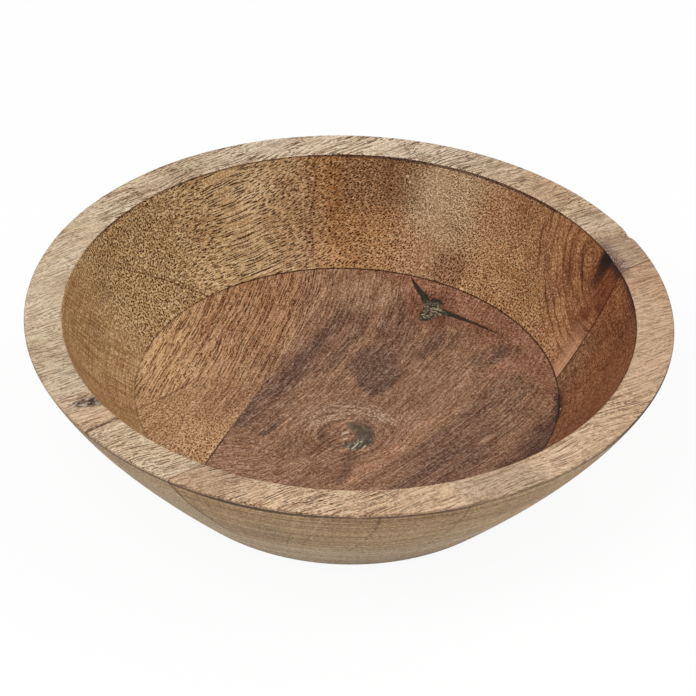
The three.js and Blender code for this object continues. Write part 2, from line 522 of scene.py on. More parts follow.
# Inner wall, in degrees round the bowl and shares of the wall's height
WALL_GRAIN = 33.0
DOT_GRAIN = 158.0
WALL_GRAIN_RISE = 0.13
WALL_SLOPE_LENGTH = math.hypot(DEPTH, INNER_RIM - FLOOR_RADIUS)
WALL_DEGREE = math.radians(1) * (INNER_RIM + FLOOR_RADIUS) / 2
RING_AZ, RING_UP = 17.1, 0.99
EYE_AZ, EYE_UP = 27.5, 0.835


def wall_grain(f):
    """Warped places along, across and up the grain of the wall boards."""
    along, across = grain_frame(f, WALL_GRAIN)
    slow = f.noise((along * 0.016, across * 0.03, f.z * 0.03), 1.0)
    curl = f.noise((along * 0.07, across * 0.05, f.z * 0.06 + 7.0), 1.0)
    return along, across + slow * 8 + curl * 2.2, f.z + slow * 5 + curl * 2.6 - along * WALL_GRAIN_RISE


def near_wall_point(f, az, up, centre_az, centre_up, squeeze=1.0):
    """Distance over the wall's surface from a point on it, in millimetres."""
    side = (az - centre_az) * WALL_DEGREE
    rise = (up - centre_up) * (WALL_SLOPE_LENGTH * squeeze)
    return f.root(side * side + rise * rise)


def wall_edges(f, up, az):
    """Adds a dark line where the wall meets the rim, and painted shade in the crease where it meets the
    floor, both faint at the left.
    """
    wear = f.cloud(0.09, 0.0, 0.5) - 0.5
    left = f.step(az, 150, 172)
    near_rim = f.step(up + wear * 0.03 + f.band(az, 40, 90, 8) * 0.014, 0.966, 0.982) * (1.0 - left)
    # Painted shade in the crease at the floor joint
    floor_crease_shade = f.step(up, 0.012, 0.003) * (1.0 - left * 0.7)
    f.stain((near_rim + floor_crease_shade) * 0.85, EDGE_TINT)


# Soft patches of the rear inner wall: degrees, share of height, squeeze, reach, share, colour and layer
WALL_PATCHES = (
    (31.8, 0.45, 0.5, 6.5, 0.9, (206, 182, 176), Finish.stain),
    (112.5, 0.68, 0.6, 10.0, 0.55, (216, 188, 152), Finish.paint),
    (105.0, 0.7, 0.8, 5.0, 0.8, (226, 216, 206), Finish.stain),
    (96.0, 0.1, 1.0, 8.0, 0.5, (210, 170, 126), Finish.paint),
    (20.0, 0.1, 1.0, 8.0, 0.6, (212, 166, 124), Finish.paint),
    (131.0, 0.1, 1.0, 14.0, 0.5, (218, 188, 142), Finish.paint),
    (119.0, 0.3, 1.0, 6.0, 0.8, (224, 214, 204), Finish.stain),
    (163.0, 0.6, 1.0, 8.0, 0.8, (226, 220, 214), Finish.stain),
    (176.0, 0.46, 1.0, 10.0, 0.9, (222, 216, 210), Finish.stain),
)


# Red marks at its right: degrees, share of height, squeeze, looseness, reach, full reach and share
RED_MARKS = (
    (18.2, 0.46, 1.2, 7, 6, 2, 1.0),
    (15.4, 0.6, 1.2, 6, 4.5, 1.5, 1.0),
    (25.9, 0.66, 2.2, 4, 5, 1.5, 0.8),
)

# Tiny pale flecks at its back: degrees, share of height and size
PALE_FLECKS = ((78.0, 0.83, 0.7), (77.3, 0.78, 0.6))


def rear_inner_finish():
    """Inner wall of the rear board: ringed at the right, red and dashed at the back, dotted at the left."""
    f = Finish("rear_inner_wood")
    along, across, lift = wall_grain(f)
    az = f.rear_azimuth()
    up = (f.z - FLOOR) * (1 / DEPTH)
    near = partial(near_wall_point, f, az, up)
    drift = f.cloud(0.035, 0.05, 0.0, 3.0, 0.6)
    loose = drift - 0.5
    wander = f.cloud(0.12, 0.12, 0.0) - 0.5
    turn = az + loose * 16
    f.zones(turn, 0, 260, (
        (18, (168, 115, 72)), (40, (174, 127, 82)), (57, (176, 134, 93)), (66, (178, 139, 101)),
        (76, (178, 134, 94)), (84, (165, 116, 58)), (96, (164, 115, 56)), (102, (182, 147, 108)),
        (118, (193, 163, 121)), (140, (193, 160, 111)), (165, (216, 185, 135)), (182, (218, 189, 141)),
        (205, (210, 172, 122)), (235, (207, 166, 120)),
    ))
    # Golden low at the back right, darker columns above it, and the red patch at the back
    f.paint(f.band(turn, 24, 64, 8) * f.step(up, 0.66, 0.2) * 0.75, (198, 157, 110))
    column = f.noise((az * 0.16, up * 0.8, 3.5))
    f.stain(f.step(column, 0.46, 0.64) * f.step(turn, 66, 52) * 0.55, SOFT_TINT)
    f.paint(f.band(turn, 60, 76, 5) * f.step(up + loose * 0.7, 0.22, 0.5) * 0.85, (198, 170, 136))
    f.paint(f.band(turn, 80, 98, 4) * f.step(up, 0.5, 0.1) * 0.7, (188, 145, 92))
    f.paint(f.band(turn, 82, 94, 4) * f.band(up + loose * 0.3, 0.5, 0.96, 0.12) * 0.95, (140, 96, 54))
    # Left wall: paler at the floor, orange near the rim
    f.paint(f.step(az, 158, 182) * f.step(up, 0.4, 0.05) * 0.5, (194, 160, 120))
    f.paint(f.band(az, 192, 224, 9) * f.step(up, 0.45, 0.95) * 0.5, (184, 128, 80))
    for place, level, squeeze, reach, share, colour, layer in WALL_PATCHES:
        away = near(place, level, squeeze) + loose * 8
        layer(f, f.step(away, reach, reach * 0.4) * share, colour)
    # Growth rings swirl round the knot at the right, where few vessels show
    ring = near(RING_AZ, RING_UP, 1.05) + loose * 6 + wander * 1.2
    swirl = f.step(ring, 52, 34)
    ring_noise = f.noise((ring * 0.4, az * 0.03, up * 0.9), 2.0, 0.6)
    ring_wave = f.sine(ring * 2.0 + ring_noise * 8)
    ring_lines = f.step(ring_wave, 0.2, 1.0) * f.band(ring, 18, 50, 5) * f.step(ring_noise, 0.38, 0.6)
    ring_bands = f.step(f.noise((ring * 0.3, az * 0.05, up * 1.5 + 4.0), 2.0, 0.7), 0.5, 0.62)
    ring_bands = ring_bands * f.band(ring, 16, 46, 6) * f.step(az, 52, 38)
    eye = near(EYE_AZ, EYE_UP, 0.7)
    eye_lines = f.step(f.sine(eye * 3.4 + wander * 5 + 2.5), -0.1, 0.9) * f.step(eye, 7.5, 4.0)
    joint = off_wall_joint(f)
    bare = f.step(joint + wander * 8, 11, 3) * f.step(up + wander * 0.3, 0.44, 0.12) * f.step(az, 60, 50)
    open_wood = (1.0 - swirl * 0.75) * (1.0 - bare * 0.8)
    # Vessels: dashes at the back, dots at the left and small marks at the right
    speck = speckle(f, 0.8)
    dashed = vessels(f, along, across, lift, 4, 0.66, 0.3) * f.step(turn, 63, 77)
    round_along, round_across = grain_frame(f, DOT_GRAIN)
    curl = f.cloud(0.06, 0.06, 5.0, 1.0)
    dotted = vessels(f, round_along, round_across + curl * 3, lift, 9, 0.9, 0.36)
    dotted = dotted * f.step(turn + (speck - 0.5) * 24, 180, 158)
    left_dots = f.step(turn + (speck - 0.5) * 40, 136, 139)
    small = vessels(f, along, across + 50, lift, 3, 0.7, 0.33) * f.step(turn, 76, 64) * open_wood
    marks = f.most(dashed + (dotted - dashed) * left_dots, small * (1.0 - up * 0.3))
    streak = fibres(f, along, across, lift, 30, 0.6)
    grained(f, streak, 0.7, 0.25, marks, 1.0, PORE_TINT)
    coarse = f.step(az, 116, 140) * 0.2
    flecked(f, speck, coarse + 0.65, coarse + 0.32)
    f.stain(f.step(drift, 0.42, 0.66) * 0.5, SOFT_TINT)
    growth = f.noise((across * 0.9, along * 0.012, f.z * 0.05), 3.0, 0.7)
    lathe = f.cloud(0.05, 1.3, 0.0, 2.0, 0.7)
    left_wall = f.step(az, 158, 178)
    f.stain(f.step(growth, 0.46, 0.6) * left_wall * 0.75, STREAK_TINT)
    f.stain(f.step(lathe, 0.44, 0.62) * left_wall * 0.6, STREAK_TINT)
    f.stain(ring_lines * 0.75, LINE_TINT)
    f.stain(ring_bands * 0.55, (158, 110, 82))
    f.stain(eye_lines * 0.55, LINE_TINT)
    # Curved growth line on the left wall, drawn double
    bend = az - 133.5
    rise = (up - bend * 0.026 - bend * bend * 0.00019) * WALL_SLOPE_LENGTH
    off_line = rise * 0.8 + loose * 2
    double = f.line(off_line, 0.4) + f.line(off_line - 1.5, 0.3) * 0.6
    shown = f.step(bend, -1.5, 0.5) * (f.step(bend, 24, 12) * 0.6 + f.step(bend, 36, 26) * 0.4)
    f.stain(double * shown * 0.7, LINE_TINT)
    # Growth lines along the left edge of the red patch
    sag = f.most(0.42 - up, 0.0)
    off_red = (az - sag * sag * 30 - loose * 8 - 98.6) * WALL_DEGREE
    f.stain((f.line(off_red, 0.5) + f.line(off_red - 2.6, 0.4) * 0.7) * 0.6, (150, 96, 66))
    # Shadowed patches low at the back right and high at the back
    low_patch = f.step(near(62, 0.12) + loose * 18, 13, 5) * f.step(az, 57.0, 58.5)
    f.stain(low_patch * 0.6, (176, 142, 124))
    shade = f.band(az + loose * 10, 73.5, 83.5, 2.5) * f.step(up + loose * 0.3, 0.42, 0.58)
    f.stain(shade * 0.95, (207, 197, 183))
    # Bare and red wood at the right, and the dark knot at the rim with the stain that runs down from it
    f.paint(bare * 0.6, (203, 158, 124))
    f.stain(bare * f.step(growth, 0.44, 0.62) * 0.4, LINE_TINT)
    warm = f.step(near(17.6, 0.88, 0.75), 17, 6)
    f.stain(warm * 0.8, (180, 128, 98))
    f.stain(warm * f.step(growth, 0.42, 0.62) * 0.6, (176, 140, 124))
    red = []
    for place, level, squeeze, looseness, reach, full, share in RED_MARKS:
        red.append(f.step(near(place, level, squeeze) + loose * looseness, reach, full) * share)
    f.stain(f.most(*red) * 0.65, (164, 96, 50))
    side = abs((az - 20.6 - up * 2.2) * WALL_DEGREE + loose * 3)
    width = f.step(up, 0.7, 1.0) * 1.4 + 2.2
    f.stain(f.step(side, width * 1.5, width * 0.4) * f.step(up, 0.6, 0.76) * 0.7, (138, 82, 54))
    f.stain(f.step(side, width * 1.4, width * 0.5) * f.step(up, 0.7, 0.92) * 0.9, STAIN_AND_SHADOW_TINT)
    f.stain(f.step(up + wander * 0.08, 0.85, 0.96) * f.step(az, 25, 21) * 0.8, STAIN_AND_SHADOW_TINT)
    f.stain(f.step(joint, 0.7, 0.15) * 0.95, EDGE_TINT)
    for place, level, size in PALE_FLECKS:
        f.paint(f.step(near(place, level), size, 0.3) * 0.7, (214, 196, 170))
    wall_edges(f, up, az)
    return f.finish(0.55, marks * -0.8 + streak * 0.3, 0.24 - marks * 0.22)


# Pale chip low on the front inner wall: degrees, share of height and squeeze
CHIP = (-6.4, 0.02, 2.2)


def front_inner_finish():
    """Inner wall of the front board: darker wood, crossed by fine upright and level lines."""
    f = Finish("front_inner_wood", (168, 114, 73))
    along, across, lift = wall_grain(f)
    az = f.front_azimuth()
    up = (f.z - FLOOR) * (1 / DEPTH)
    marks = vessels(f, along, across, lift, 5, 0.7, 0.3)
    streak = fibres(f, along, across, lift, 30, 0.8)
    speck = speckle(f, 1.0)
    hatch = f.noise((az * 1.1, f.z * 0.08, 2.5), 2.0, 0.7)
    lathe = f.cloud(0.04, 1.2, 0.0, 2.0, 0.7)
    joint = off_wall_joint(f)
    f.paint(f.step(f.cloud(0.03, 0.03, 0.0), 0.35, 0.65), (148, 96, 59))
    f.paint(f.step(up, 0.5, 0.0) * 0.4, (160, 122, 92))
    f.stain(f.band(up, 0.12, 0.66, 0.14) * 0.55, (234, 224, 222))
    f.paint(f.step(joint, -15, -3) * f.step(up, 0.6, 0.25) * 0.65, (164, 130, 102))
    grained(f, streak, 0.75, 0.1, marks, 0.7, PORE_TINT)
    crossed = f.step(az, -55, -20)
    f.stain(f.step(hatch, 0.46, 0.62) * (crossed * 0.5 + 0.2), STREAK_TINT)
    f.stain(f.step(lathe, 0.46, 0.62) * (crossed * 0.3 + 0.3), STREAK_TINT)
    flecked(f, speck, 0.75, 0.1)
    f.stain(f.step(joint, -0.7, -0.15) * 0.75, LINE_TINT)
    # Smudge and a pale chip where the wall meets the floor at the right, and shade under the rim
    smudge = f.step(up + (speck - 0.5) * 0.06, 0.06, 0.01) * f.band(az, -11, 1.0, 2.5)
    f.stain(smudge * 0.8, SMUDGE_TINT)
    chip = f.step(near_wall_point(f, az, up, *CHIP), 1.0, 0.4)
    f.paint(chip * 0.5, (190, 184, 176))
    f.stain(f.step(up, 0.9, 0.985) * f.step(f.y, -10, 12) * 0.75, (128, 98, 90))
    wall_edges(f, up, az)
    return f.finish(0.55, marks * -0.6 + streak * 0.3, 0.24 - marks * 0.22)


# Rim: plan angle of its grain, and its stretches by degrees from and to, soft width and share
RIM_GRAIN = 32.0
SMOOTH_RIM = (
    (152, 222, 8, 0.45),
    (-26, 36, 8, 0.65),
    (44, 60, 6, 0.3),
    (-78, -34, 8, 0.5),
    (228, 246, 5, 0.2),
)
LINED_RIM = ((104, 132, 9, 0.5), (46, 80, 8, 0.45))
DULL_RIM = ((241, 252, 3, 0.9), (-69, -54, 3, 0.9), (18, 29, 3, 0.9), (192, 212, 5, 0.54))

# Strokes of the rim: plan ends, sag and three half widths
RIM_KNOT = ((-101.5, -65.8), (-89.5, -62), 0.6, 0.5, 2.4, 2.2)
RIM_KNOT_LINE = ((-94.8, -82), (-83.2, -72.6), 0.5, 0.7, 0.6, 0.8)
RIM_KNOT_EDGE = ((-107, -64), (-96.5, -57.2), 0.3, 0.3, 0.4, 0.3)
RIM_CROSS_LINES = (
    ((104, 32.5), (121, 36), 0.4, 0.4, 0.35, 0.3),
    ((110, 25), (122, 29.5), 0.3, 0.2, 0.3, 0.2),
)
RIM_EYE = (99.8, 56.5)


def rim_finish(name, pale, warm):
    """Rim wood by its pale and warm tones: rough sawn grain, with a knot at the left and one at the right."""
    f = Finish(name, pale)
    az = f.rear_azimuth()
    radius = f.away((0, 0))
    along, across = grain_frame(f, RIM_GRAIN)
    wave = f.noise((along * 0.03, across * 0.05, f.z * 0.05), 1.0)
    curl = f.noise((along * 0.08, across * 0.12, 0.5), 1.0)
    steep = along * f.step(f.y - f.x, 90, 150) * 0.12
    bent = across - steep + wave * 7 + curl * 1.6
    marks = vessels(f, along, bent, f.z + curl * 6, 6, 0.8, 0.26)
    dashes = vessels(f, along, bent + 40, f.z * 0.3 + curl * 2, 7, 0.95, 0.27)
    fine = fibres(f, along, bent, f.z, 14, 0.65)
    streak = fibres(f, along, bent, f.z, 26, 1.8)
    speck = speckle(f, 0.9)
    turned = f.noise((f.x / radius * 52, f.y / radius * 52, radius * 0.12), 2.0, 0.6)
    f.paint(f.step(f.cloud(0.025, 0.02, 0.0), 0.38, 0.62), warm)
    f.paint(f.band(az, 66, 116, 14) * 0.7, (228, 214, 192))
    f.stain(f.band(az, 40, 62, 6) * 0.5, (240, 222, 204))
    f.stain(f.band(az, -28, 34, 8) * 0.6, (232, 220, 214))
    smooth = f.bands(az, SMOOTH_RIM)
    rough = (f.step(f.cloud(0.07, 0.0, 4.5), 0.35, 0.6) * 0.6 + 0.4) * (1.0 - smooth)
    f.stain(f.step(streak, 0.42, 0.66) * 0.45, (214, 200, 188))
    f.stain(f.step(turned, 0.45, 0.65) * 0.35, (214, 200, 188))
    f.stain(f.step(fine, 0.46, 0.6) * (rough * 0.8 + 0.2), (178, 156, 138))
    flecked(f, speck, 0.45 - smooth * 0.3, 0.4 - smooth * 0.3)
    f.stain(marks * rough, (104, 78, 60))
    f.stain(dashes * f.bands(az, LINED_RIM), (128, 98, 76))
    f.stain(f.bands(az, DULL_RIM), (226, 224, 223))
    patchy = f.cloud(0.25, 0.25, 0.0, 3.0, 0.6)
    x = f.x + (patchy - 0.5) * 3
    y = f.y + (patchy - 0.5) * 3
    # Left knot, the pink wood round it and the growth lines beside it
    f.stain(f.band(az, 210, 221, 2.5) * 0.45, (236, 206, 188))
    knot = stroke(f, x, y, *RIM_KNOT)
    along_knot = f.noise((along * 0.5, across * 1.3, 6.5), 2.0, 0.65)
    f.stain(knot * 0.85, (146, 130, 130))
    f.stain(knot * f.step(along_knot, 0.52, 0.42) * 0.9, (64, 56, 62))
    f.paint(knot * f.step(along_knot, 0.57, 0.65) * 0.7, (204, 197, 194))
    f.stain(stroke(f, x, y, *RIM_KNOT_LINE) * f.step(along_knot, 0.3, 0.55) * 0.9, (116, 78, 62))
    f.stain(stroke(f, x, y, *RIM_KNOT_EDGE) * 0.55, (160, 124, 100))
    # Pink wood, crossing lines and flecked wood at the right, beside the dark knot of the inner wall
    f.stain(f.band(az, 8, 31, 5) * 0.25, (232, 204, 190))
    for line in RIM_CROSS_LINES:
        f.stain(stroke(f, x, y, *line) * 0.45, (150, 108, 96))
    inward = radius - INNER_RIM
    near = f.band(az, 15, 26.5, 2.0) * f.step(inward + (patchy - 0.5) * 7, 6, 0.5)
    f.stain(near * 0.85, (140, 114, 118))
    flecks = f.step(speckle(f, 0.7), 0.58, 0.66) * f.band(az, 16, 26, 2.0) * f.step(inward, 6, 3)
    f.paint(flecks * 0.6, (228, 216, 212))
    eye = f.away(RIM_EYE, 1.6, 0.5)
    eye_lines = f.step(f.sine(eye * 3.0 + patchy * 4), 0.1, 0.9) * f.step(eye, 5.5, 3.0)
    f.stain(eye_lines * 0.4, (180, 150, 126))
    # Glue line and the edge of the rim
    f.stain(f.line(off_wall_joint(f), 0.35) * 0.5, LINE_TINT)
    lip = f.step(radius, RIM_RADIUS - 0.9, RIM_RADIUS - 0.3)
    f.stain(lip * 0.5, (190, 168, 148))
    f.stain(lip * f.band(az, -37, -14, 7), STAIN_AND_SHADOW_TINT)
    return f.finish(0.7, marks * -0.8 + fine * 0.9 + speck * 0.4)


# Thin growth lines down the outer wall: degrees at the rim, and bend and lean on the way down
BENT_LINES = ((-84, 0.0032, 0), (-68.8, 0.0018, 0))
LEANING_LINES = ((-97, 0, 0.128), (-93, 0, 0.148))

# Stretches where the painted shadow line under the rim is wide: degrees from and to, soft width and
# millimetres
WIDE_RIM_SHADOW = ((-42, -8, 8, 0.8), (-112, -94, 6, 1.0))


def growth_lines(f, az, rows):
    """1 on the thin lines of a table, falling to 0 beside them."""
    drop = HEIGHT - f.z
    total = 0.0
    for top_az, bend, lean in rows:
        total = f.line((az - top_az + drop * drop * bend + drop * lean) * 1.7, 0.45) + total
    return total


def outer_wall_finish(name, low, high, lathe_share):
    """Outer wood by its tones low and high up and the share of its level lathe lines; its paler low tone is
    painted light thrown up from the floor.
    """
    f = Finish(name, low)
    along, across, lift = wall_grain(f)
    az = f.front_azimuth()
    joint = off_wall_joint(f)
    marks = vessels(f, along, across, lift, 5, 0.8, 0.27)
    lathe = f.cloud(0.014, 1.1, 0.0, 3.0, 0.65)
    speck = speckle(f, 1.1)
    broad = f.cloud(0.03, 0.05, 0.0)
    # Painted light: paler low down, where the floor throws light up, turning to the high tone higher up
    f.paint(f.step(f.z, 14, HEIGHT - 14), high)
    # Painted light: paler on the right side of the outer wall
    f.paint(f.step(az, -70, -35) * f.step(az, 120, 60) * 0.6, (218, 190, 150))
    f.stain(f.step(broad, 0.38, 0.62) * 0.5, (226, 212, 194))
    f.stain(f.step(lathe, 0.4, 0.6) * lathe_share, (196, 184, 168))
    hatch = f.noise((az * 0.9, f.z * 0.07, 1.5), 2.0, 0.7)
    upright = f.step(joint, 0.5, -0.5) * f.step(az, -102, -116)
    f.stain(f.step(hatch, 0.44, 0.62) * upright * 0.6, STREAK_TINT)
    flecked(f, speck, 0.5, 0.2)
    f.stain(marks * 0.45, VESSEL_TINT)
    # Growth lines, two of them leaning and scratched pale near the rim
    leaning = growth_lines(f, az, LEANING_LINES)
    scratched = f.step(f.z, 43, 49)
    fade = f.step(f.z, 18, 32) * f.step(speck, 0.3, 0.55)
    dark = growth_lines(f, az, BENT_LINES) + leaning * (1.0 - scratched) * 0.7
    f.stain(dark * fade * 0.6, LINE_TINT)
    f.paint(leaning * scratched * fade * 0.2, (216, 194, 164))
    f.stain(f.band(az, -107, -100, 4) * f.band(f.z, 32, 50, 7) * 0.9, (220, 216, 210))
    # Glue line, and a painted shadow line under the overhanging rim, darker at the front right
    f.stain(f.line(joint, 0.45) * f.step(f.z, FLOOR - 0.5, FLOOR + 0.5) * 0.95, LINE_TINT)
    lowered = f.z + (broad - 0.5) * 2 + f.bands(az, WIDE_RIM_SHADOW)
    rim_overhang_shadow = f.step(lowered, HEIGHT - 2.6, HEIGHT - 1.6)
    f.stain(rim_overhang_shadow * 0.85, EDGE_TINT)
    f.stain(rim_overhang_shadow * f.band(az, -55, 10, 12) * 0.8, STAIN_AND_SHADOW_TINT)
    return f.finish(0.6, marks * -0.4 + lathe * 0.6)


# Floor and underside: plan angles of the grain in the middle of each board
LIGHT_GRAIN = 70
DARK_GRAIN = 58

# Curved growth line at the left of the light floor: plan ends, sag and three half widths
LIGHT_CURVE = ((-82, -17), (-57, 8), -1.5, 0.35, 0.4, 0.3)


def floor_lines(f, off_joint, fade, full):
    """Adds the glue line, dark at the front, and painted shade in the crease at the wall, faint at the left.
    """
    f.stain(f.step(off_joint, fade, full) * f.step(f.y, -22, -34) * 0.85, STAIN_AND_SHADOW_TINT)
    left = f.step(f.x, -40, -62)
    # Painted shade in the crease where the floor meets the wall
    edge = f.step(f.away((0, 0)), FLOOR_RADIUS - 0.5, FLOOR_RADIUS - 0.1)
    f.stain(edge * (0.85 - left * 0.5), EDGE_TINT)


def light_floor_finish():
    """Floor of the light board: dashed and finely streaked, with dots at the front left."""
    f = Finish("light_floor_wood")
    along, across = curved_grain(f, LIGHT_GRAIN, 0.0012)
    slow = f.noise((along * 0.018, across * 0.03, 0.5), 1.0)
    curl = f.noise((along * 0.05, across * 0.06, 3.5), 1.0)
    bent = across + slow * 7 + curl * 2.5
    ripple = f.noise((along * 0.06, across * 0.25, 8.5), 1.0) * 7
    dashes = vessels(f, along, bent, ripple, 3.2, 0.7, 0.3)
    dots = vessels(f, bent, along * 0.5, bent, 4, 0.76, 0.32)
    low_left = f.step(f.y * 0.85 - f.x * 0.5 + (slow - 0.5) * 40 + (curl - 0.5) * 30, 36, 0)
    marks = dashes + (dots - dashes) * low_left
    streak = fibres(f, along, bent, f.z, 22, 0.8)
    pale = fibres(f, along, bent, f.z + 40, 34, 1.1)
    broad = f.noise((f.x * 0.04, f.y * 0.018, 0.5)) - 0.5
    off_joint = off_base_joint(f)
    f.zones(off_joint + broad * 26, 0, 60, (
        (2, (161, 119, 87)), (14, (164, 122, 87)), (26, (181, 143, 104)), (50, (197, 161, 118)),
    ))
    f.paint(f.step(f.y + broad * 30, -10, -32), (190, 151, 110))
    f.paint(f.step(f.y + broad * 30, 8, 52) * f.step(f.x, -70, -52) * 0.85, (160, 116, 82))
    f.paint(f.step(f.x + broad * 10, -25, -17) * f.step(f.y, 26, 42) * 0.9, (158, 120, 94))
    fine = 1.0 - low_left
    grained(f, streak, fine * 0.3 + 0.6, 0.2, marks, 0.95)
    f.stain(f.step(streak, 0.54, 0.68) * fine * 0.4, LINE_TINT)
    f.paint(f.step(pale, 0.52, 0.66) * fine * 0.4, (200, 167, 126))
    flecked(f, speckle(f, 0.8), 0.6, 0.25)
    f.stain(stroke(f, f.x, f.y, *LIGHT_CURVE) * 0.6, LINE_TINT)
    # Glue line, and painted shade along the wall
    floor_lines(f, off_joint, 0.5, 0.1)
    return f.finish(0.5, marks * -0.7 + streak * 0.2, 0.3 - marks * 0.26)


# Knot in the dark floor: plan places of its middle, its dark side and its clear side, and its olive colour
KNOT_X, KNOT_Y = 1.0, -28.6
KNOT_DARK_SIDE = (3.8, -29.0)
KNOT_CLEAR_SIDE = (-4.2, -28.4)
KNOT_OLIVE = (74, 59, 43)

# Plan places of the pale wood at the back of the dark floor, and of the crack's stain and dust
PALE_BACK_X, PALE_BACK_Y = 7, 66
CRACK_STAIN = (32.5, 55)
CRACK_DUST = (32.4, 55.5)

# Strokes of the dark floor: plan ends, sag and three half widths
PALE_BAND = ((-1, -60), (44, -8), 0, 3, 2.5, 1.2)
FRONT_LINES = (
    ((-48, -36.5), (-25, -39), 1.0, 0.3, 0.6, 0.3),
    ((-44, -40), (-22, -45), 1.5, 0.3, 0.5, 0.3),
)
KNOT_GLINTS = (
    ((-1.8, -29.2), (1.4, -27.6), 0.5, 0.3, 0.5, 0.25),
    ((-0.8, -33.0), (2.0, -31.8), 0.5, 0.3, 0.5, 0.25),
)
KNOT_TAIL = ((4, -38), (-3, -60), 1, 1.6, 2.4, 2.0)
CRACK_ARM_STAIN = ((36, 54), (64, 37), -0.5, 3.5, 3, 1.5)

# Its purple heartwood streaks: plan ends, sag, three half widths and share
HEART_BANDS = (
    ((-44, -24), (-1, 50), -3.5, 4, 6, 4, 1.0),
    ((11, 16), (20, 64), -1.5, 4, 4.5, 3, 0.9),
    ((22, 26), (27, 50), 0, 3, 4, 3, 0.8),
    ((19, 22), (50, 41), 0, 4, 6, 3, 0.8),
    ((-34, -30), (-23, 1), 0, 4, 6, 3, 0.8),
    ((48, 20), (70, 32), 0, 3, 5, 3, 0.8),
    ((10, -2), (12, 30), 0.5, 2, 8.5, 3, 1.35),
    ((18, -68), (70, 14), -3, 9, 10, 6, 0.7),
    ((-9, 14), (4, 66), -1, 5, 7, 5, 0.95),
)


def knot_shade(f):
    """Share of olive shade over the dark side of the knot, with a soft ragged edge."""
    ragged = (f.cloud(0.4, 0.0, 1.5, 2.0, 0.65) - 0.5) * 5
    dark = f.step(f.away(KNOT_DARK_SIDE) + ragged, 9.4, 6.4)
    return dark * f.step(f.away(KNOT_CLEAR_SIDE) + ragged, 6.0, 10.0)


